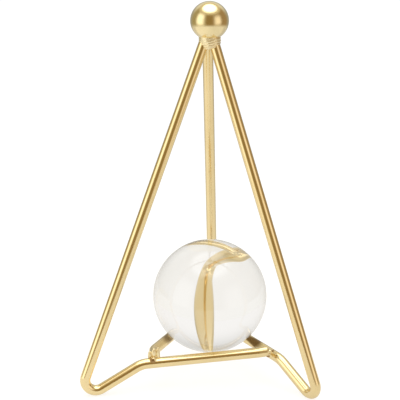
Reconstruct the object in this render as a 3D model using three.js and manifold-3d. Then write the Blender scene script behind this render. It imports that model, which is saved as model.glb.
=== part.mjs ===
// Decorative sphere: a clear crystal ball that rests loose in a pyramid of three bent gold rods.
// Each rod is a leg, a tight foot bend, a rising foot bar, a corner and one bar of the
// triangular seat. Its end is welded to the next rod's corner, so the seat turns like a
// pinwheel. A small gold ball closes the pyramid on top.
// Millimetres, +Z up. The feet stand on z = 0.
import * as THREE from 'three';
import { mergeVertices } from 'three/addons/utils/BufferGeometryUtils.js';
import Module from 'manifold-3d';

const wasm = await Module();
wasm.setup();

// Balls
const crystalRadius = 25;
const finialRadius = 8;
const finialHeight = 157.8;

// Rods
const rodRadius = 2.25;
const footBendRadius = 4.7;
const cornerBendRadius = 11;
const tailBendRadius = 6;
const apexHeight = 155;
const footReach = 61.5;
const cornerReach = 34.6;
const cornerHeight = 12.5;
const cornerTurn = 10;
const barAimReach = 36.2;
const barAimHeight = 15.5;
const barAimTurn = 13.3;
const firstLegAngle = 206.8;
const legPitch = 120;

// Clearance between two pieces that touch
const touchGap = 0.3;

// Welds. A rod's bead lies this share of the way from its tip to the next rod's centre line.
const beadShare = 0.4;
const neckWeldRadius = 4.7;
const neckWeldDrop = 4.8;
const neckWeldTip = 2.2;

// Facets
const rodSides = 20;
const footBendSteps = 12;
const cornerBendSteps = 6;
const tailBendSteps = 3;

// The rods are bent by hand, so each differs a little from the common form. Reach and lift are
// in millimetres outwards and up, turns in degrees, and apexShift is sideways at the top.
const rodForms = [
  {
    name: 'rod_left',
    legTurn: 0.3,
    legReach: 1.3,
    apexShift: 0,
    seatReach: 0.6,
    seatTurn: 0.1,
    seatLift: -0.1,
    barLength: 51.4,
    tailTurn: 4,
    tailLength: 3.4,
    beadRadius: 2.3,
  },
  {
    name: 'rod_right',
    legTurn: -0.6,
    legReach: -1.6,
    apexShift: 0,
    seatReach: 0.2,
    seatTurn: 1.1,
    seatLift: -0.8,
    barLength: 50.5,
    tailTurn: 10,
    tailLength: 4.5,
    beadRadius: 2.3,
  },
  {
    name: 'rod_back',
    legTurn: 0.3,
    legReach: 0.2,
    apexShift: 0.9,
    seatReach: -0.9,
    seatTurn: -1.3,
    seatLift: 0.8,
    barLength: 50.5,
    tailTurn: 27,
    tailLength: 6.6,
    beadRadius: 2.7,
  },
];

// Finishes
const goldPlate = { color: 0xd9b566, roughness: 0.24, metalness: 1 };
const paleGoldPlate = { color: 0xdcc184, roughness: 0.2, metalness: 1 };
const clearCrystal = { color: 0xf2f2f2, roughness: 0.02, metalness: 0, transparent: true, opacity: 0.3 };

const up = new THREE.Vector3(0, 0, 1);

function polar(reach, angle, height) {
  const turn = THREE.MathUtils.degToRad(angle);
  return new THREE.Vector3(reach * Math.cos(turn), reach * Math.sin(turn), height);
}

// A circular arc that rounds the corner b between the lines from a and to c
class BendArc {
  constructor(a, b, c, radius) {
    const back = a.clone().sub(b).normalize();
    const ahead = c.clone().sub(b).normalize();
    const half = back.angleTo(ahead) / 2;
    const middle = back.clone().add(ahead).normalize();
    this.radius = radius;
    this.sweep = Math.PI - 2 * half;
    this.centre = b.clone().addScaledVector(middle, radius / Math.sin(half));
    this.start = b.clone().addScaledVector(back, radius / Math.tan(half)).sub(this.centre);
    this.heading = back.negate();
    this.axis = this.start.clone().cross(this.heading).normalize();
  }

  station(share) {
    const turn = this.sweep * share;
    const spoke = this.start.clone().applyAxisAngle(this.axis, turn);
    const tangent = this.heading.clone().applyAxisAngle(this.axis, turn);
    return { point: this.centre.clone().add(spoke), tangent };
  }

  lowestHeight() {
    return this.centre.z - this.radius * Math.sqrt(1 - this.axis.z ** 2);
  }
}

// A rod's centre line, whose steps fall close together in the bends and far apart on the lines
class RodLine extends THREE.Curve {
  constructor(corners, bends) {
    super();
    const last = corners.length - 1;
    this.stations = [];
    this.stations.push({ point: corners[0], tangent: corners[1].clone().sub(corners[0]).normalize() });
    bends.forEach(({ radius, steps }, i) => {
      const arc = new BendArc(corners[i], corners[i + 1], corners[i + 2], radius);
      for (let step = 0; step <= steps; step += 1) this.stations.push(arc.station(step / steps));
    });
    const heading = corners[last].clone().sub(corners[last - 1]).normalize();
    this.stations.push({ point: corners[last], tangent: heading });
  }

  get steps() {
    return this.stations.length - 1;
  }

  getPointAt(share) {
    return this.stations[Math.round(share * this.steps)].point.clone();
  }

  getTangentAt(share) {
    return this.stations[Math.round(share * this.steps)].tangent.clone();
  }
}

// The corner points of one rod's centre line, before its bends are rounded
function rodCorners(form, index) {
  const angle = firstLegAngle + legPitch * index;
  const legAngle = angle + form.legTurn;
  const seatAngle = legAngle + cornerTurn + form.seatTurn;
  const apex = polar(form.apexShift, legAngle + 90, apexHeight);
  const corner = polar(cornerReach + form.seatReach, seatAngle, cornerHeight + form.seatLift);
  const aim = polar(barAimReach, legAngle + legPitch + barAimTurn, barAimHeight);
  const heading = aim.sub(corner).normalize();
  const barEnd = corner.clone().addScaledVector(heading, form.barLength);
  const tail = heading.applyAxisAngle(up, THREE.MathUtils.degToRad(form.tailTurn));
  const tip = barEnd.clone().addScaledVector(tail, form.tailLength);
  const foot = polar(footReach + form.legReach, legAngle, 0);
  foot.z = groundedHeight(apex, foot, corner);
  return { apex, foot, corner, barEnd, tip, legAngle };
}

// The height of the foot's corner point for which the rounded bend just touches the ground
function groundedHeight(apex, foot, corner) {
  const trial = foot.clone();
  for (let round = 0; round < 6; round += 1) {
    trial.z += rodRadius - new BendArc(apex, trial, corner, footBendRadius).lowestHeight();
  }
  return trial.z;
}

function rodLine({ apex, foot, corner, barEnd, tip }) {
  return new RodLine([apex, foot, corner, barEnd, tip], [
    { radius: footBendRadius, steps: footBendSteps },
    { radius: cornerBendRadius, steps: cornerBendSteps },
    { radius: tailBendRadius, steps: tailBendSteps },
  ]);
}

function tubeGeometry(line, radius) {
  const section = new THREE.Shape().absarc(0, 0, radius, 0, 2 * Math.PI);
  return new THREE.ExtrudeGeometry(section, {
    extrudePath: line,
    steps: line.steps,
    curveSegments: rodSides / 2,
    bevelEnabled: false,
  });
}

function ballGeometry(radius, around, down, centre) {
  const ball = new THREE.SphereGeometry(radius, around, down);
  return ball.rotateX(Math.PI / 2).translate(centre.x, centre.y, centre.z);
}

// From three.js geometry to a solid that can be cut, and back
function toSolid(geometry) {
  const bare = geometry.clone();
  bare.deleteAttribute('normal');
  bare.deleteAttribute('uv');
  const welded = mergeVertices(bare);
  return new wasm.Manifold(new wasm.Mesh({
    numProp: 3,
    vertProperties: new Float32Array(welded.getAttribute('position').array),
    triVerts: new Uint32Array(welded.index.array),
  }));
}

function toGeometry(solid) {
  const mesh = solid.getMesh();
  const geometry = new THREE.BufferGeometry();
  geometry.setAttribute('position', new THREE.BufferAttribute(mesh.vertProperties, 3));
  geometry.setIndex(new THREE.BufferAttribute(mesh.triVerts, 1));
  geometry.computeVertexNormals();
  return geometry;
}

// Two blocks that leave a leg's top its own third of the round, with a gap to the other legs
function mitreBlocks(legAngle) {
  const size = 40;
  return [-1, 1].map((side) => {
    const block = new THREE.BoxGeometry(size, size, size);
    block.translate(0, side * (size / 2 - touchGap / 2), apexHeight);
    block.rotateZ(THREE.MathUtils.degToRad(legAngle + side * legPitch / 2));
    return toSolid(block);
  });
}

// The point of a rod's centre line that lies nearest to the given point
function nearestOnLine(line, point) {
  let nearest = line.stations[0].point;
  for (let i = 0; i < line.steps; i += 1) {
    const stretch = new THREE.Line3(line.stations[i].point, line.stations[i + 1].point);
    const candidate = stretch.closestPointToPoint(point, true, new THREE.Vector3());
    if (candidate.distanceTo(point) < nearest.distanceTo(point)) nearest = candidate;
  }
  return nearest;
}

function rodSolid(form, corners, nextLine) {
  const { tip } = corners;
  const beadCentre = tip.clone().lerp(nearestOnLine(nextLine, tip), beadShare);
  const bead = ballGeometry(form.beadRadius, 16, 10, beadCentre);
  const finial = new THREE.Vector3(0, 0, finialHeight);
  let rod = toSolid(tubeGeometry(rodLine(corners), rodRadius)).add(toSolid(bead));
  rod = rod.subtract(toSolid(tubeGeometry(nextLine, rodRadius + touchGap)));
  rod = rod.subtract(toSolid(ballGeometry(finialRadius + touchGap, 32, 24, finial)));
  for (const block of mitreBlocks(corners.legAngle)) rod = rod.subtract(block);
  return rod;
}

// The finial ball with the weld metal that runs down between the tops of the legs
function finialSolid(lines) {
  const centre = new THREE.Vector3(0, 0, finialHeight);
  const underside = finialHeight - finialRadius;
  const profile = [
    new THREE.Vector2(0, underside - neckWeldDrop),
    new THREE.Vector2(neckWeldTip, underside - neckWeldDrop),
    new THREE.Vector2(neckWeldRadius, underside + 0.4),
    new THREE.Vector2(neckWeldRadius, underside + 2),
    new THREE.Vector2(0, underside + 2),
  ];
  const neck = new THREE.LatheGeometry(profile, 24).rotateX(Math.PI / 2);
  let solid = toSolid(neck);
  for (const line of lines) solid = solid.subtract(toSolid(tubeGeometry(line, rodRadius + touchGap)));
  return solid.add(toSolid(ballGeometry(finialRadius, 32, 20, centre)));
}

// The place of a ball that lies on the three seat bars: it is pushed off each bar in turn
function restingCentre(seats) {
  const reach = crystalRadius + rodRadius + touchGap;
  const centre = new THREE.Vector3(0, 0, cornerHeight + crystalRadius);
  for (let round = 0; round < 200; round += 1) {
    for (const { corner, barEnd } of seats) {
      const bar = new THREE.Line3(corner, barEnd);
      const foot = bar.closestPointToPoint(centre, false, new THREE.Vector3());
      const push = centre.clone().sub(foot);
      centre.addScaledVector(push.clone().normalize(), reach - push.length());
    }
  }
  return centre;
}

function piece(name, geometry, finish) {
  const mesh = new THREE.Mesh(geometry, new THREE.MeshStandardMaterial(finish));
  mesh.name = name;
  return mesh;
}

const model = new THREE.Group();
const corners = rodForms.map(rodCorners);
const lines = corners.map(rodLine);

rodForms.forEach((form, i) => {
  const nextLine = lines[(i + 1) % lines.length];
  model.add(piece(form.name, toGeometry(rodSolid(form, corners[i], nextLine)), goldPlate));
});
model.add(piece('finial_ball', toGeometry(finialSolid(lines)), paleGoldPlate));
const crystalCentre = restingCentre(corners);
model.add(piece('crystal_ball', ballGeometry(crystalRadius, 44, 28, crystalCentre), clearCrystal));

// The origin goes to the middle of the footprint, on the surface it stands on
const box = new THREE.Box3().setFromObject(model, true);
const middle = box.getCenter(new THREE.Vector3());
model.position.set(-middle.x, -middle.y, -box.min.z);

export default model;
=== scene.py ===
"""Looks of a decorative sphere: a clear crystal ball that rests in a pyramid of bent gold rods.

Lengths are named in millimetres and angles in degrees. The meshes are in metres: PLACE scales
each of them and puts it round the axis of the finial ball.
"""

import math
import random

import bmesh
import bpy
from mathutils import Matrix, Quaternion, Vector


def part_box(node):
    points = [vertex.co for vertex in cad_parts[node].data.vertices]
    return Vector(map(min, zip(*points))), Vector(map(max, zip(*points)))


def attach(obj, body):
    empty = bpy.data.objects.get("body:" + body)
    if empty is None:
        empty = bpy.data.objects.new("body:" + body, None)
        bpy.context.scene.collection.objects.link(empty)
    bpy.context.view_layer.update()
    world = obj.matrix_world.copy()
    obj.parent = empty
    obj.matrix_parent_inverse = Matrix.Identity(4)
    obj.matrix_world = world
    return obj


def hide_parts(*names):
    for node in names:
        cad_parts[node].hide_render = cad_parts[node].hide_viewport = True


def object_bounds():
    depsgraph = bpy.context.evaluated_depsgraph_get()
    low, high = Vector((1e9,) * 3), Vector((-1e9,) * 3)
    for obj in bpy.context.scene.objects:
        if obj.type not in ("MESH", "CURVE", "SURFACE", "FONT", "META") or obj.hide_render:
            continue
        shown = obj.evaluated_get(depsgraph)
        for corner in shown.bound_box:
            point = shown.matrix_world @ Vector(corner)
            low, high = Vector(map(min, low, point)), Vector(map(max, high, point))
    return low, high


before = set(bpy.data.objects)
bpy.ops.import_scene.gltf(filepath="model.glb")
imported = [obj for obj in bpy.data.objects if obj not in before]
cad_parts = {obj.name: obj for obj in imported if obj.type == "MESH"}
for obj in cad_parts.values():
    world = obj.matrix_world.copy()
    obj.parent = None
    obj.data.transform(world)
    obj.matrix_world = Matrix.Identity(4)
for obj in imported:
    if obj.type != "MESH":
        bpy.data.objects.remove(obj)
cad_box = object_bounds()

MM = 0.001
UP = Vector((0, 0, 1))

# Balls. The cuts are how many times each edge of the starting cube is cut.
FINIAL_RADIUS = 8
FINIAL_HEIGHT = 157.8
FINIAL_CUTS = 31
CRYSTAL_RADIUS = 25
CRYSTAL_CUTS = 63

# Rods, with the same sizes as the solids
ROD_RADIUS = 2.25
FOOT_BEND_RADIUS = 4.7
CORNER_BEND_RADIUS = 11
TAIL_BEND_RADIUS = 6
APEX_HEIGHT = 155
FOOT_REACH = 61.5
CORNER_REACH = 34.6
CORNER_HEIGHT = 12.5
CORNER_TURN = 10
BAR_AIM_REACH = 36.2
BAR_AIM_HEIGHT = 15.5
BAR_AIM_TURN = 13.3
FIRST_LEG_ANGLE = 206.8
LEG_PITCH = 120
GROUNDING_ROUNDS = 6

# How finely the rods and the weld metal are divided, and where a shaded edge turns sharp
ROD_SIDES = 56
BEND_STEPS = 28
STRAIGHT_STEP = 2.5
WELD_VOXEL = 0.12
SHARP_ANGLE = 38

# What differs from rod to rod: the reach and lift outwards and up, the turns, and apex_shift
# sideways at the top
ROD_FORMS = [
    dict(name="rod_left", leg_turn=0.3, leg_reach=1.3, apex_shift=0, seat_reach=0.6,
         seat_turn=0.1, seat_lift=-0.1, bar_length=51.4, tail_turn=4, tail_length=3.4),
    dict(name="rod_right", leg_turn=-0.6, leg_reach=-1.6, apex_shift=0, seat_reach=0.2,
         seat_turn=1.1, seat_lift=-0.8, bar_length=50.5, tail_turn=10, tail_length=4.5),
    dict(name="rod_back", leg_turn=0.3, leg_reach=0.2, apex_shift=0.9, seat_reach=-0.9,
         seat_turn=-1.3, seat_lift=0.8, bar_length=50.5, tail_turn=27, tail_length=6.6),
]

# The camera that took the photo, measured from the finial's axis
CAMERA_PLACE = (0, -506.0, 244.6)
CAMERA_YAW = 0.392
CAMERA_PITCH = -18.004
CAMERA_ROLL = 0.366
SENSOR_WIDTH = 36
LENS = 111.15

finial_low, finial_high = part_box("finial_ball")
axis = (finial_low + finial_high) / 2
PLACE = Matrix.Translation((axis.x, axis.y, cad_box[0].z)) @ Matrix.Scale(MM, 4)


# Camera

def add_camera():
    data = bpy.data.cameras.new("camera")
    data.sensor_width = SENSOR_WIDTH
    data.lens = LENS
    data.clip_start = 0.01
    data.clip_end = 20
    camera = bpy.data.objects.new("camera", data)
    turn = (Matrix.Rotation(math.radians(CAMERA_YAW), 4, "Z")
            @ Matrix.Rotation(math.radians(90 + CAMERA_PITCH), 4, "X")
            @ Matrix.Rotation(math.radians(CAMERA_ROLL), 4, "Z"))
    camera.matrix_world = Matrix.Translation(PLACE @ Vector(CAMERA_PLACE)) @ turn
    bpy.context.scene.collection.objects.link(camera)
    bpy.context.scene.camera = camera


# Centre lines of the rods

def polar(reach, angle, height):
    turn = math.radians(angle)
    return Vector((reach * math.cos(turn), reach * math.sin(turn), height))


class BendArc:
    """The circular arc that rounds the corner b between the lines from a and to c."""

    def __init__(self, a, b, c, radius):
        back = (a - b).normalized()
        ahead = (c - b).normalized()
        half = back.angle(ahead) / 2
        self.radius = radius
        self.sweep = math.pi - 2 * half
        self.centre = b + (back + ahead).normalized() * (radius / math.sin(half))
        self.start = b + back * (radius / math.tan(half)) - self.centre
        self.heading = -back
        self.axis = self.start.cross(self.heading).normalized()

    def station(self, share):
        turn = Quaternion(self.axis, self.sweep * share)
        return self.centre + turn @ self.start, turn @ self.heading

    def lowest_height(self):
        """The height of the lowest point of the whole circle that the arc is part of."""
        return self.centre.z - self.radius * math.sqrt(1 - self.axis.z ** 2)


def rod_corners(form, index):
    """The corner points of a rod's centre line, before its bends are rounded."""
    leg_angle = FIRST_LEG_ANGLE + LEG_PITCH * index + form["leg_turn"]
    seat_angle = leg_angle + CORNER_TURN + form["seat_turn"]
    apex = polar(form["apex_shift"], leg_angle + 90, APEX_HEIGHT)
    corner = polar(CORNER_REACH + form["seat_reach"], seat_angle, CORNER_HEIGHT + form["seat_lift"])
    aim = polar(BAR_AIM_REACH, leg_angle + LEG_PITCH + BAR_AIM_TURN, BAR_AIM_HEIGHT)
    heading = (aim - corner).normalized()
    bar_end = corner + heading * form["bar_length"]
    tail = Quaternion(UP, math.radians(form["tail_turn"])) @ heading
    tip = bar_end + tail * form["tail_length"]
    foot = polar(FOOT_REACH + form["leg_reach"], leg_angle, 0)
    for _ in range(GROUNDING_ROUNDS):
        foot.z += ROD_RADIUS - BendArc(apex, foot, corner, FOOT_BEND_RADIUS).lowest_height()
    return dict(apex=apex, foot=foot, corner=corner, bar_end=bar_end, tip=tip, tail=tail,
                leg_angle=leg_angle)


def rod_line(corners):
    """Points and headings along a rod's rounded centre line, from the apex to the tip."""
    points = [corners[key] for key in ("apex", "foot", "corner", "bar_end", "tip")]
    radii = (FOOT_BEND_RADIUS, CORNER_BEND_RADIUS, TAIL_BEND_RADIUS)
    stations = [(points[0], (points[1] - points[0]).normalized())]
    for i, radius in enumerate(radii):
        arc = BendArc(*points[i:i + 3], radius)
        add_straight(stations, arc.station(0))
        stations += [arc.station(step / BEND_STEPS) for step in range(1, BEND_STEPS + 1)]
    add_straight(stations, (points[-1], (points[-1] - points[-2]).normalized()))
    return stations


def add_straight(stations, end):
    """Goes on from the last station to the given one in even steps."""
    start, heading = stations[-1]
    steps = max(1, round((end[0] - start).length / STRAIGHT_STEP))
    for step in range(1, steps):
        stations.append((start.lerp(end[0], step / steps), heading))
    stations.append(end)


# Meshes

def new_piece(name, mesh):
    piece = bpy.data.objects.new(name, mesh)
    bpy.context.scene.collection.objects.link(piece)
    return piece


def tube_mesh(name, stations, radius):
    """A closed round tube. Its rod_place attribute runs round and along the rod without a seam."""
    vertices = []
    places = []
    run = 0
    heading = stations[0][1]
    side = heading.orthogonal().normalized()
    for i, (point, tangent) in enumerate(stations):
        side = heading.rotation_difference(tangent) @ side
        side = (side - tangent * side.dot(tangent)).normalized()
        heading = tangent
        across = tangent.cross(side)
        if i:
            run += (point - stations[i - 1][0]).length
        for k in range(ROD_SIDES):
            turn = 2 * math.pi * k / ROD_SIDES
            spoke = side * math.cos(turn) + across * math.sin(turn)
            vertices.append(point + spoke * radius)
            places.append((radius * math.cos(turn), radius * math.sin(turn), run))
    faces = []
    for ring in range(len(stations) - 1):
        for k in range(ROD_SIDES):
            ahead = (k + 1) % ROD_SIDES
            a, b = ring * ROD_SIDES, (ring + 1) * ROD_SIDES
            faces.append((a + k, a + ahead, b + ahead, b + k))
    faces.append(tuple(reversed(range(ROD_SIDES))))
    faces.append(tuple(range(len(vertices) - ROD_SIDES, len(vertices))))
    mesh = bpy.data.meshes.new(name)
    mesh.from_pydata([PLACE @ v for v in vertices], [], faces)
    attribute = mesh.attributes.new("rod_place", "FLOAT_VECTOR", "CORNER")
    for loop in mesh.loops:
        attribute.data[loop.index].vector = places[loop.vertex_index]
    mesh.shade_smooth()
    return mesh


def ball_mesh(name, centre, radius, cuts):
    """A ball of even quads, from a cube whose faces are pushed out to the round."""
    shape = bmesh.new()
    bmesh.ops.create_cube(shape, size=2)
    bmesh.ops.subdivide_edges(shape, edges=shape.edges[:], cuts=cuts, use_grid_fill=True)
    for vertex in shape.verts:
        even = Vector(math.tan(c * math.pi / 4) for c in vertex.co)
        vertex.co = PLACE @ (centre + even.normalized() * radius)
    mesh = bpy.data.meshes.new(name)
    shape.to_mesh(mesh)
    shape.free()
    mesh.shade_smooth()
    return mesh


def lump_mesh(name, lumps, smooth_rounds):
    """Weld metal: overlapping lumps, each a matrix that stretches and places a ball, as one skin."""
    shape = bmesh.new()
    for lump in lumps:
        bmesh.ops.create_icosphere(shape, subdivisions=3, radius=1, matrix=PLACE @ lump)
    mesh = bpy.data.meshes.new(name)
    shape.to_mesh(mesh)
    shape.free()
    return melted(mesh, smooth_rounds)


def melted(mesh, smooth_rounds):
    """The mesh remade as one skin, with its dents and creases smoothed."""
    piece = new_piece("melt", mesh)
    remesh = piece.modifiers.new("remesh", "REMESH")
    remesh.mode = "VOXEL"
    remesh.voxel_size = WELD_VOXEL * MM
    smooth = piece.modifiers.new("smooth", "SMOOTH")
    smooth.factor = 0.5
    smooth.iterations = smooth_rounds
    result = evaluated_mesh(piece, mesh.name)
    result.shade_smooth()
    return result


def evaluated_mesh(piece, name):
    """The piece's mesh with its modifiers applied. The piece itself is removed."""
    depsgraph = bpy.context.evaluated_depsgraph_get()
    mesh = bpy.data.meshes.new_from_object(piece.evaluated_get(depsgraph))
    mesh.name = name
    bpy.data.objects.remove(piece)
    return mesh


def cut_or_join(mesh, tool_mesh, operation):
    """The mesh with the other one taken off it or joined to it. Each keeps its materials."""
    piece = new_piece("work", mesh)
    tool = new_piece("tool", tool_mesh)
    boolean = piece.modifiers.new("boolean", "BOOLEAN")
    boolean.object = tool
    boolean.operation = operation
    boolean.solver = "EXACT"
    boolean.material_mode = "TRANSFER"
    result = evaluated_mesh(piece, mesh.name)
    bpy.data.objects.remove(tool)
    return result


def mitre_block(leg_angle, side):
    """A block that takes a leg's top off beyond the plane it shares with its neighbour."""
    size = 40
    block = bmesh.new()
    bmesh.ops.create_cube(block, size=size)
    turn = Matrix.Rotation(math.radians(leg_angle + side * LEG_PITCH / 2), 4, "Z")
    lift = Matrix.Translation((0, side * size / 2, APEX_HEIGHT))
    block.transform(PLACE @ turn @ lift)
    mesh = bpy.data.meshes.new("mitre_block")
    block.to_mesh(mesh)
    block.free()
    return mesh


# Materials

# A painted shade darkens the gilding where the seat's rear bars pass close beside the crystal.
# Lengths are in metres, as in the shader, and go from the metal to the ball's middle. These three
# pairs, and SHADE_ROUND, run from where the shade is nothing to where it is full.
SHADED_GOLD = (0.2, 0.12, 0.04, 1)
SHADE_INNER = (0.0258, 0.0268)
SHADE_OUTER = (0.0294, 0.0270)
SHADE_FRONT = (0.0105, 0.0075)
# These two pairs run from left of the ball to right of it. On the right the shade goes further
# out. On the left it is fainter and goes further round the bar.
SHADE_WIDE_CHANGE = (0.01, -0.01)
SHADE_CHANGE = (0.005, -0.005)
SHADE_RIGHT_EXTRA = 0.0033
SHADE_LEFT_STRENGTH = 0.85
SHADE_LEFT_WRAP = 0.3
# The shade is on the bar's side that faces the ball, and goes further round it further out
SHADE_WRAP = 120.0
SHADE_ROUND = (3.94, 4.19)


class Nodes:
    """Adds nodes to one material or world and joins them up."""

    def __init__(self, tree):
        self.tree = tree
        tree.nodes.clear()

    def add(self, kind, inputs=None, **settings):
        node = self.tree.nodes.new(kind)
        for key, value in settings.items():
            setattr(node, key, value)
        for key, value in (inputs or {}).items():
            self.put(node.inputs[key], value)
        return node

    def put(self, socket, value):
        if isinstance(value, bpy.types.NodeSocket):
            self.tree.links.new(value, socket)
        else:
            socket.default_value = value

    def math(self, operation, a, b=0.0, c=0.0):
        node = self.add("ShaderNodeMath", {0: a, 1: b, 2: c}, operation=operation)
        return node.outputs[0]

    def fade(self, value, start, end, low=0.0, high=1.0):
        """Runs smoothly from low to high as value goes from start to end."""
        node = self.add("ShaderNodeMapRange", {
            "Value": value, "From Min": start, "From Max": end, "To Min": low, "To Max": high,
        }, interpolation_type="SMOOTHSTEP")
        return node.outputs["Result"]

    def blend(self, factor, a, b):
        """Goes from the number a to the number b."""
        node = self.add("ShaderNodeMix", {0: factor, 2: a, 3: b}, data_type="FLOAT")
        return node.outputs[0]

    def mix(self, factor, a, b):
        """Goes from the colour a to the colour b."""
        node = self.add("ShaderNodeMix", data_type="RGBA")
        self.put(node.inputs[0], factor)
        self.put(node.inputs[6], a)
        self.put(node.inputs[7], b)
        return node.outputs[2]


def contact_shade(nodes, place):
    """How deep in the painted shade beside the crystal the metal is, from 0 to 1."""
    centre = sum(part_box("crystal_ball"), Vector()) / 2
    reach = nodes.add("ShaderNodeVectorMath", {0: centre, 1: place}, operation="SUBTRACT").outputs[0]
    toward = nodes.add("ShaderNodeVectorMath", {0: reach}, operation="NORMALIZE").outputs[0]
    distance = nodes.add("ShaderNodeVectorMath", {0: reach}, operation="LENGTH").outputs["Value"]
    normal = nodes.add("ShaderNodeNewGeometry").outputs["Normal"]
    facing = nodes.add("ShaderNodeVectorMath", {0: toward, 1: normal}, operation="DOT_PRODUCT")
    split = nodes.add("ShaderNodeSeparateXYZ", {0: reach}).outputs
    extra = nodes.fade(split["X"], *SHADE_WIDE_CHANGE, 0.0, SHADE_RIGHT_EXTRA)
    outer = nodes.fade(nodes.math("SUBTRACT", distance, extra), *SHADE_OUTER)
    inner = nodes.fade(distance, *SHADE_INNER)
    wrap = nodes.math("MULTIPLY_ADD", distance, SHADE_WRAP, facing.outputs["Value"])
    wrap = nodes.math("ADD", wrap, nodes.fade(split["X"], *SHADE_CHANGE, SHADE_LEFT_WRAP, 0.0))
    shade = nodes.math("MULTIPLY", outer, inner)
    shade = nodes.math("MULTIPLY", shade, nodes.fade(split["Y"], *SHADE_FRONT))
    strength = nodes.fade(split["X"], *SHADE_CHANGE, SHADE_LEFT_STRENGTH, 1.0)
    shade = nodes.math("MULTIPLY", shade, strength)
    return nodes.math("MULTIPLY", shade, nodes.fade(wrap, *SHADE_ROUND))


def gold_material(name, tint, worn_tint, roughness, bump):
    """Gold plate on drawn wire: faint draw lines along the rod, soft tint and gloss changes, and a
    painted shade beside the crystal.
    """
    material = bpy.data.materials.new(name)
    material.use_nodes = True
    nodes = Nodes(material.node_tree)
    place = nodes.add("ShaderNodeTexCoord").outputs["Object"]
    cloud = nodes.add("ShaderNodeTexNoise", {
        "Vector": place, "Scale": 90.0, "Detail": 4.0, "Roughness": 0.55,
    }).outputs["Fac"]
    grain = nodes.add("ShaderNodeTexNoise", {
        "Vector": place, "Scale": 1800.0, "Detail": 3.0, "Roughness": 0.6,
    }).outputs["Fac"]
    run = nodes.add("ShaderNodeAttribute", attribute_name="rod_place").outputs["Vector"]
    stretched = nodes.add("ShaderNodeMapping", {
        "Vector": run, "Scale": (6.0, 6.0, 0.06),
    }).outputs["Vector"]
    lines = nodes.add("ShaderNodeTexNoise", {
        "Vector": stretched, "Scale": 1.0, "Detail": 3.0, "Roughness": 0.65,
    }).outputs["Fac"]
    colour = nodes.mix(nodes.fade(cloud, 0.35, 0.7), tint, worn_tint)
    # Painted shade: the gilding turns dark brown beside the crystal
    colour = nodes.mix(contact_shade(nodes, place), colour, SHADED_GOLD)
    gloss = nodes.math("ADD", nodes.fade(cloud, 0.3, 0.75, -0.03, 0.04), roughness)
    gloss = nodes.math("ADD", gloss, nodes.fade(lines, 0.4, 0.7, -0.015, 0.02))
    height = nodes.math("ADD", nodes.math("MULTIPLY", grain, 0.5), lines)
    relief = nodes.add("ShaderNodeBump", {
        "Height": height, "Strength": bump, "Distance": 0.00001,
    }).outputs["Normal"]
    shader = nodes.add("ShaderNodeBsdfPrincipled", {
        "Base Color": colour, "Metallic": 1.0, "Roughness": gloss, "Normal": relief,
    })
    output = nodes.add("ShaderNodeOutputMaterial")
    nodes.put(output.inputs["Surface"], shader.outputs["BSDF"])
    return material


def crystal_material():
    """Clear crystal with the faintest handling marks in its polish."""
    material = bpy.data.materials.new("clear_crystal")
    material.use_nodes = True
    nodes = Nodes(material.node_tree)
    place = nodes.add("ShaderNodeTexCoord").outputs["Object"]
    marks = nodes.add("ShaderNodeTexNoise", {
        "Vector": place, "Scale": 60.0, "Detail": 3.0, "Roughness": 0.5,
    }).outputs["Fac"]
    shader = nodes.add("ShaderNodeBsdfPrincipled", {
        "Base Color": (0.985, 0.985, 0.98, 1), "Roughness": nodes.fade(marks, 0.5, 0.75, 0.0, 0.02),
        "IOR": 1.517, "Transmission Weight": 1.0,
    })
    output = nodes.add("ShaderNodeOutputMaterial")
    nodes.put(output.inputs["Surface"], shader.outputs["BSDF"])
    return material


# Pieces

# How many times the weld metal at the joints is smoothed
WELD_ROUNDS = 5

# The lumps of weld metal round each rod's tip. The first three numbers are the place from the
# tip: along the rod's heading, to its left as seen from above, and up. The other three are the
# lump's half sizes the same ways.
WELDS = {
    "rod_left": [
        (-0.4, 0, 0, 1.9, 2.2, 2.2),
        (1.2, 0, -0.3, 1.4, 1.6, 1.5),
        (1.2, -1.1, 0.5, 1.0, 0.7, 0.6),
        (0.4, -1.4, -0.8, 1.1, 0.8, 0.7),
    ],
    "rod_right": [
        (-0.6, 0, 0, 1.7, 2.2, 2.2),
        (1.3, 0, -1.0, 1.8, 1.9, 1.6),
        (1.2, -1.4, 0.3, 1.1, 1.0, 0.9),
        (1.0, 1.4, 0.2, 1.1, 1.0, 0.9),
    ],
    "rod_back": [
        (-0.6, 0, 0, 1.8, 2.25, 2.2),
        (0, 0, -2.5, 1.9, 2.3, 1.3),
        (0.9, -0.2, 1.9, 1.1, 1.1, 2.2),
        (0.4, 1.6, 1.2, 1.1, 0.9, 3.2),
        (0.3, -1.9, 0.6, 1.0, 0.9, 2.0),
        (1.2, -0.2, -0.9, 1.3, 1.4, 1.0),
        (2.2, -0.4, -1.2, 0.7, 1.4, 1.5),
    ],
}

# Small lumps of the same metal in dark brown: painted shade and reflection at the welds
PAINTED_SHADE_SPOTS = {
    "rod_left": [
        (0.3, -1.6, -1.5, 0.8, 0.7, 0.6),
        (2.7, -0.9, 0.3, 0.5, 0.6, 0.5),
    ],
    "rod_right": [(0.4, -1.7, -0.8, 0.7, 0.6, 0.6)],
    "rod_back": [(2.2, -0.7, -1.3, 0.85, 1.5, 1.45)],
}


def weld_lumps(corners, sizes):
    """The lumps of a weld, placed in the frame of the rod's last stretch."""
    along = corners["tail"]
    left = UP.cross(along).normalized()
    turn = Matrix((along, left, along.cross(left))).transposed().to_4x4()
    place = Matrix.Translation(corners["tip"]) @ turn
    return [place @ Matrix.Translation(lump[:3]) @ Matrix.Diagonal((*lump[3:], 1)) for lump in sizes]


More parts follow.
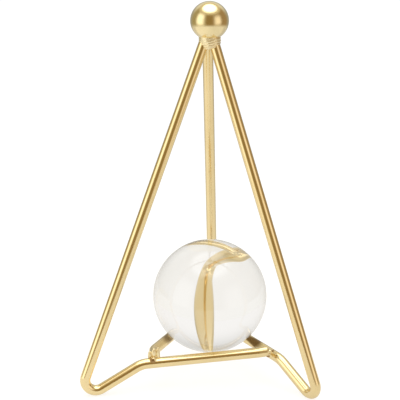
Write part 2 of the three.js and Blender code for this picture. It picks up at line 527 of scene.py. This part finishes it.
def add_rod(form, corners, plate, weld, painted_shade):
    mesh = tube_mesh(form["name"], rod_line(corners), ROD_RADIUS)
    mesh.materials.append(plate)
    for side in (-1, 1):
        mesh = cut_or_join(mesh, mitre_block(corners["leg_angle"], side), "DIFFERENCE")
    # The second set of lumps is dark brown: painted shade and reflection at the weld
    for sizes, metal in ((WELDS, weld), (PAINTED_SHADE_SPOTS, painted_shade)):
        lumps = lump_mesh("weld", weld_lumps(corners, sizes[form["name"]]), WELD_ROUNDS)
        lumps.materials.append(metal)
        mesh = cut_or_join(mesh, lumps, "UNION")
    finished_piece("gilt_" + form["name"], mesh, form["name"])


# The weld round the tops of the legs: a tilted lump under the finial, with ripples on its side.
# The depths are down from the lump's middle.
NECK_PLACE = (0, -0.6, 151)
NECK_REACH = 4.5
NECK_DEPTH = 5.2
NECK_TILT = 10
NECK_FULLNESS = 2.8
NECK_STEPS = (1.6, 2.5, 3.3, 4.0)
NECK_STEP_HEIGHT = 1.1
NECK_STEP_SINK = 0.1
NECK_ROUNDS = 6
RIPPLE_DEPTHS = (0.9, 1.9, 2.9, 3.8)
RIPPLE_BEADS = 60
RIPPLE_BEAD_RADIUS = 0.55
RIPPLE_SINK = 0.4
RIPPLE_WAVES = (3, 7)
RIPPLE_OUT = 0.06
RIPPLE_UP = 0.1


def neck_reach(depth):
    """How far the neck reaches from its axis. It is fuller than an ellipsoid towards the bottom."""
    return NECK_REACH * (1 - (depth / NECK_DEPTH) ** NECK_FULLNESS) ** (1 / NECK_FULLNESS)


def neck_lumps():
    """The neck's body in steps, and its ripples as wavy rings of beads."""
    draw = random.Random(5)
    slow, fast = RIPPLE_WAVES
    tilt = Matrix.Rotation(math.radians(-NECK_TILT), 4, "Y")
    place = Matrix.Translation(NECK_PLACE) @ tilt
    lumps = [place @ Matrix.Diagonal((NECK_REACH, NECK_REACH, NECK_DEPTH, 1))]
    for depth in NECK_STEPS:
        reach = neck_reach(depth) - NECK_STEP_SINK
        step = Matrix.Diagonal((reach, reach, NECK_STEP_HEIGHT, 1))
        lumps.append(place @ Matrix.Translation((0, 0, -depth)) @ step)
    for depth in RIPPLE_DEPTHS:
        reach = neck_reach(depth) - RIPPLE_SINK
        phase = draw.uniform(0, 360)
        for k in range(RIPPLE_BEADS):
            turn = 360 * k / RIPPLE_BEADS
            wave = math.sin(math.radians(slow * turn + phase))
            wave += math.sin(math.radians(fast * turn - phase))
            spoke = polar(reach + RIPPLE_OUT * wave, turn, RIPPLE_UP * wave - depth)
            lumps.append(place @ Matrix.Translation(spoke) @ Matrix.Scale(RIPPLE_BEAD_RADIUS, 4))
    return lumps


def add_finial(plate, weld):
    centre = Vector((0, 0, FINIAL_HEIGHT))
    mesh = ball_mesh("finial", centre, FINIAL_RADIUS, FINIAL_CUTS)
    mesh.materials.append(plate)
    neck = lump_mesh("neck", neck_lumps(), NECK_ROUNDS)
    neck.materials.append(weld)
    mesh = cut_or_join(mesh, neck, "UNION")
    finished_piece("gilt_finial", mesh, "finial_ball")


def add_crystal(material):
    low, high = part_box("crystal_ball")
    centre = PLACE.inverted() @ ((low + high) / 2)
    mesh = ball_mesh("crystal", centre, CRYSTAL_RADIUS, CRYSTAL_CUTS)
    mesh.materials.append(material)
    piece = finished_piece("clear_crystal_ball", mesh, "crystal_ball")
    # The crystal lets light through, so a full shadow of it would be too dark
    piece.visible_shadow = False


def finished_piece(name, mesh, node):
    """An object with the mesh, which rides on the root and takes the place of a node."""
    mesh.set_sharp_from_angle(angle=math.radians(SHARP_ANGLE))
    piece = new_piece(name, mesh)
    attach(piece, "root")
    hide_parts(node)
    return piece


# Studio

# Panels round the object: azimuth from and to (0 is towards the camera, positive to the right),
# elevation from and to, softness of the edge, and colour
PANELS = {
    "left": (-82, -36, -18, 40, 14, (1.55, 1.52, 1.45, 1)),
    "right": (32, 71, -16, 30, 13, (1.18, 1.08, 0.98, 1)),
}
FRONT_GAP = (0.32, 0.22, 0.09, 1)
LEFT_SHADE = (0.42, 0.36, 0.21, 1)
RIGHT_SHADE = (0.38, 0.27, 0.15, 1)
REAR_LOW = (0.42, 0.42, 0.40, 1)
REAR_HIGH = (0.84, 0.83, 0.78, 1)
THROUGH_LOW = (0.95, 0.935, 0.92, 1)
THROUGH_HIGH = (0.58, 0.58, 0.565, 1)
THROUGH_SIDE = (0.86, 0.85, 0.82, 1)
THROUGH_GOLD = (0.84, 0.82, 0.75, 1)
THROUGH_GOLD_SHARE = 0.6
UPPER_RING = (0.72, 0.63, 0.46, 1)
OVERHEAD = (2.6, 2.6, 2.6, 1)
BELOW = (0.92, 0.90, 0.86, 1)
WHITE = (1.06, 1.06, 1.06, 1)

# Where one tone fades into the next: azimuths, or their size without the sign
SHADE_AZIMUTHS = (-60, 60)
REAR_AZIMUTHS = (112, 146)
GAP_AZIMUTHS = (31, 11)
THROUGH_AZIMUTHS = (130, 85)
# And elevations
REAR_ELEVATIONS = (5, 32)
RING_ELEVATIONS = (36, 50)
OVERHEAD_ELEVATIONS = (51, 66)
BELOW_ELEVATIONS = (-14, -30)
THROUGH_ELEVATIONS = (0, 50)

# The floor is dull and glows by itself. Its glow is weaker behind the object and towards the right,
# a painted shade. The two slopes give where the glow's strength starts and stops to change, in
# metres, and the strengths there.
FLOOR_RADIUS = 320
FLOOR_SEGMENTS = 128
FLOOR_COLOUR = (0.25, 0.25, 0.25, 1)
FLOOR_GLOW = (1, 0.99, 0.97, 1)
FLOOR_SLOPE_X = (-0.1, 0.12, 0.73, 0.58)
FLOOR_SLOPE_Y = (0.02, 0.12, 1.0, 0.6)
FLOOR_THROUGH = 0.70
FLOOR_SEEN = 0.84


def add_studio():
    """Light by direction. The camera sees white, and what shows straight through the crystal is pale."""
    world = bpy.data.worlds.new("studio")
    world.use_nodes = True
    bpy.context.scene.world = world
    nodes = Nodes(world.node_tree)
    direction = nodes.add("ShaderNodeTexCoord").outputs["Generated"]
    split = nodes.add("ShaderNodeSeparateXYZ", {0: direction})
    x, y, z = (split.outputs[k] for k in "XYZ")
    azimuth = nodes.math("DEGREES", nodes.math("ARCTAN2", x, nodes.math("MULTIPLY", y, -1.0)))
    elevation = nodes.math("DEGREES", nodes.math("ARCSINE", z))
    around = nodes.math("ABSOLUTE", azimuth)
    light = nodes.mix(nodes.fade(azimuth, *SHADE_AZIMUTHS), LEFT_SHADE, RIGHT_SHADE)
    rear = nodes.mix(nodes.fade(elevation, *REAR_ELEVATIONS), REAR_LOW, REAR_HIGH)
    light = nodes.mix(nodes.fade(around, *REAR_AZIMUTHS), light, rear)
    light = nodes.mix(nodes.fade(around, *GAP_AZIMUTHS), light, FRONT_GAP)
    for low_side, high_side, low, high, soft, colour in PANELS.values():
        wide = nodes.math("MULTIPLY", nodes.fade(azimuth, low_side - soft, low_side + soft),
                          nodes.fade(azimuth, high_side + soft, high_side - soft))
        tall = nodes.math("MULTIPLY", nodes.fade(elevation, low - soft, low + soft),
                          nodes.fade(elevation, high + soft, high - soft))
        light = nodes.mix(nodes.math("MULTIPLY", wide, tall), light, colour)
    light = nodes.mix(nodes.fade(elevation, *RING_ELEVATIONS), light, UPPER_RING)
    light = nodes.mix(nodes.fade(elevation, *OVERHEAD_ELEVATIONS), light, OVERHEAD)
    light = nodes.mix(nodes.fade(elevation, *BELOW_ELEVATIONS), light, BELOW)
    path = nodes.add("ShaderNodeLightPath").outputs
    behind_crystal = nodes.math("GREATER_THAN", path["Transmission Depth"], 0.5)
    share = nodes.math("MULTIPLY", behind_crystal, THROUGH_GOLD_SHARE)
    light = nodes.mix(share, light, THROUGH_GOLD)
    through = nodes.mix(nodes.fade(elevation, *THROUGH_ELEVATIONS), THROUGH_LOW, THROUGH_HIGH)
    through = nodes.mix(nodes.fade(around, *THROUGH_AZIMUTHS), through, THROUGH_SIDE)
    direct = nodes.math("LESS_THAN", path["Glossy Depth"], 0.5)
    light = nodes.mix(nodes.math("MULTIPLY", path["Is Transmission Ray"], direct), light, through)
    light = nodes.mix(path["Is Camera Ray"], light, WHITE)
    background = nodes.add("ShaderNodeBackground", {"Color": light})
    output = nodes.add("ShaderNodeOutputWorld")
    nodes.put(output.inputs["Surface"], background.outputs[0])


def add_floor():
    disc = bmesh.new()
    bmesh.ops.create_circle(disc, cap_ends=True, segments=FLOOR_SEGMENTS, radius=FLOOR_RADIUS)
    disc.transform(PLACE)
    mesh = bpy.data.meshes.new("floor")
    disc.to_mesh(mesh)
    disc.free()
    material = bpy.data.materials.new("floor_white")
    material.use_nodes = True
    nodes = Nodes(material.node_tree)
    matt = nodes.add("ShaderNodeBsdfDiffuse", {"Color": FLOOR_COLOUR})
    place = nodes.add("ShaderNodeTexCoord").outputs["Object"]
    split = nodes.add("ShaderNodeSeparateXYZ", {0: place}).outputs
    path = nodes.add("ShaderNodeLightPath").outputs
    # Painted shade: the glow is weaker behind the object and towards the right
    strength = nodes.fade(split["X"], *FLOOR_SLOPE_X)
    strength = nodes.math("MULTIPLY", strength, nodes.fade(split["Y"], *FLOOR_SLOPE_Y))
    direct = nodes.math("LESS_THAN", path["Glossy Depth"], 0.5)
    through = nodes.math("MULTIPLY", path["Is Transmission Ray"], direct)
    strength = nodes.blend(through, strength, FLOOR_THROUGH)
    strength = nodes.blend(path["Is Camera Ray"], strength, FLOOR_SEEN)
    glow = nodes.add("ShaderNodeEmission", {"Color": FLOOR_GLOW, "Strength": strength})
    both = nodes.add("ShaderNodeAddShader", {0: matt.outputs[0], 1: glow.outputs[0]})
    output = nodes.add("ShaderNodeOutputMaterial")
    nodes.put(output.inputs["Surface"], both.outputs[0])
    mesh.materials.append(material)
    new_piece("floor", mesh)


add_camera()
bpy.context.scene.view_settings.view_transform = "Standard"

plate = gold_material("gold_plate", (0.87, 0.705, 0.39, 1), (0.84, 0.67, 0.355, 1), 0.16, 0.3)
pale_plate = gold_material("pale_gold_plate", (0.88, 0.74, 0.43, 1), (0.85, 0.71, 0.40, 1), 0.17, 0.2)
weld = gold_material("weld_gold", (0.90, 0.77, 0.48, 1), (0.86, 0.72, 0.42, 1), 0.32, 0.15)
neck_weld = gold_material("neck_weld_gold", (0.94, 0.83, 0.55, 1), (0.90, 0.77, 0.48, 1), 0.46, 0.15)
# Dark brown gold for the painted shade and reflection at the welds
painted_shade = gold_material("painted_shade_gold", (0.42, 0.26, 0.11, 1), (0.34, 0.20, 0.08, 1), 0.34, 0.2)

for i, form in enumerate(ROD_FORMS):
    add_rod(form, rod_corners(form, i), plate, weld, painted_shade)
add_finial(pale_plate, neck_weld)
add_crystal(crystal_material())
add_studio()
add_floor()
